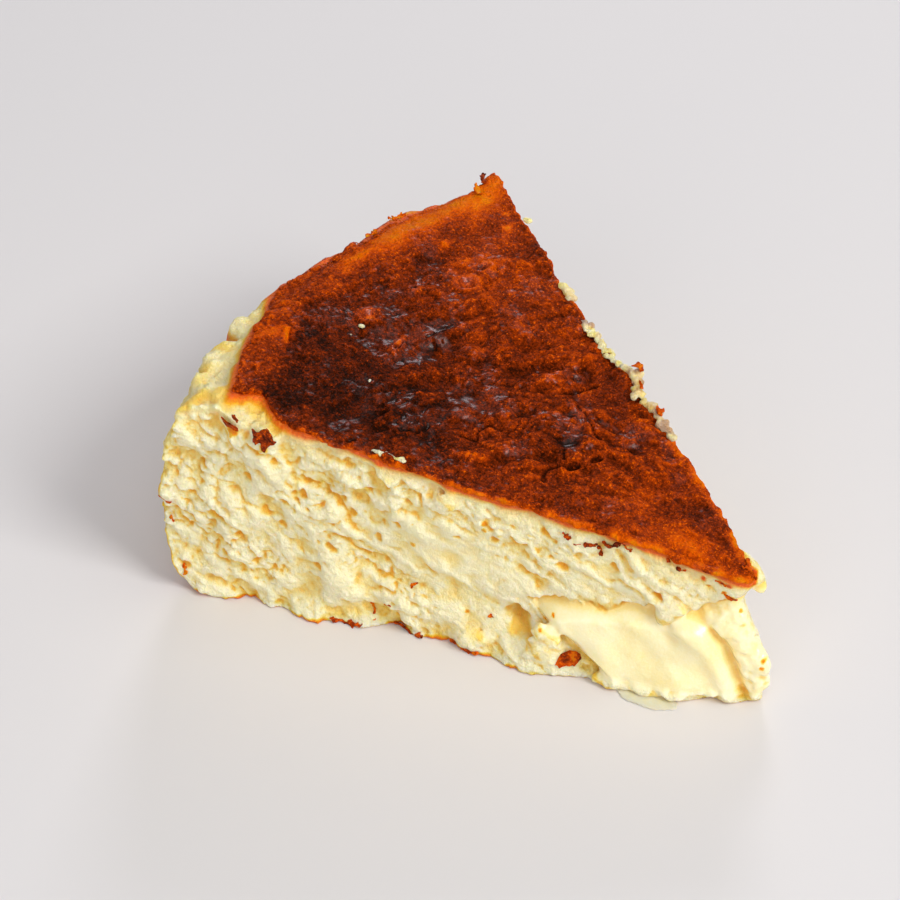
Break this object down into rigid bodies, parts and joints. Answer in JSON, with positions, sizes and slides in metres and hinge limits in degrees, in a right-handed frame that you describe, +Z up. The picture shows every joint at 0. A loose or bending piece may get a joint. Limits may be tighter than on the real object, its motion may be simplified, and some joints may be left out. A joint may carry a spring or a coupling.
{
  "type": "basque burnt cheesecake slice",
  "caption": "Wedge of baked cheesecake with a burnt, wrinkled top, a craggy cut side and a soft centre running out at the tip; rests on its flat base.",
  "frame": {"origin": "middle of the slice's bounding box, on the plane it rests on", "axes": "+Z up from the base to the burnt top, +X along the slice towards its tip, -Y the side of the seen cut"},
  "size_m": [0.1174, 0.094, 0.0478],
  "materials": {
    "custard": "moist cream-yellow baked custard, curdled and crumbly where cut, smooth and wet where it runs",
    "burnt_crust": "thin burnt top, dark brown to orange, wrinkled with an oily shine"
  },
  "bodies": {
    "root": {"cheesecake_slice": "custard"}
  },
  "joints": []
}
